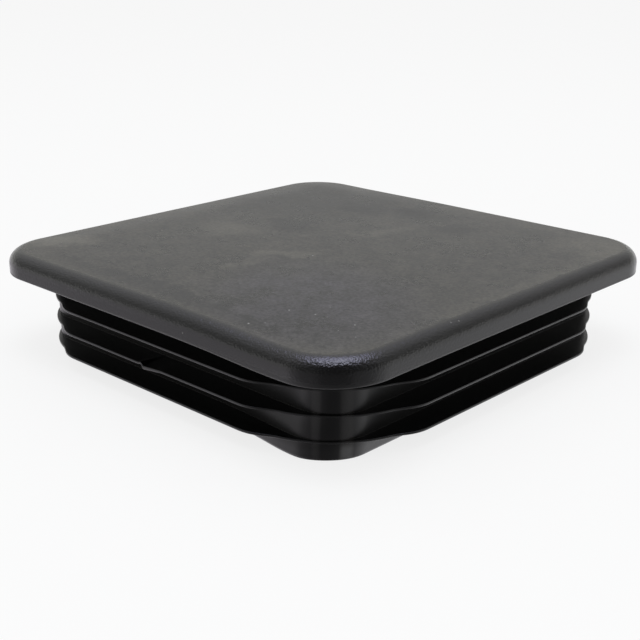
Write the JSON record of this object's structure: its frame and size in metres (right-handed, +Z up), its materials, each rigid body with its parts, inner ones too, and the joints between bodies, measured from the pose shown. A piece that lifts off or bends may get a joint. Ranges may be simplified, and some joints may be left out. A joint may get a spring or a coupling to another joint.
{
  "type": "tube end cap",
  "caption": "Square black plastic end cap for a square tube: flat rounded head over a hollow skirt with thin flexible fins.",
  "frame": {"origin": "middle of the skirt's bottom edge, the lowest level of the cap as it stands", "axes": "+Z up through the middle of the head, out of the tube; X and Y square to the sides"},
  "size_m": [0.1, 0.1, 0.0224],
  "materials": {
    "black_polyethylene": "fine-grained matte black polyethylene, a little glossier on the skirt and fins"
  },
  "bodies": {
    "root": {"end_cap": "black_polyethylene"}
  },
  "joints": []
}
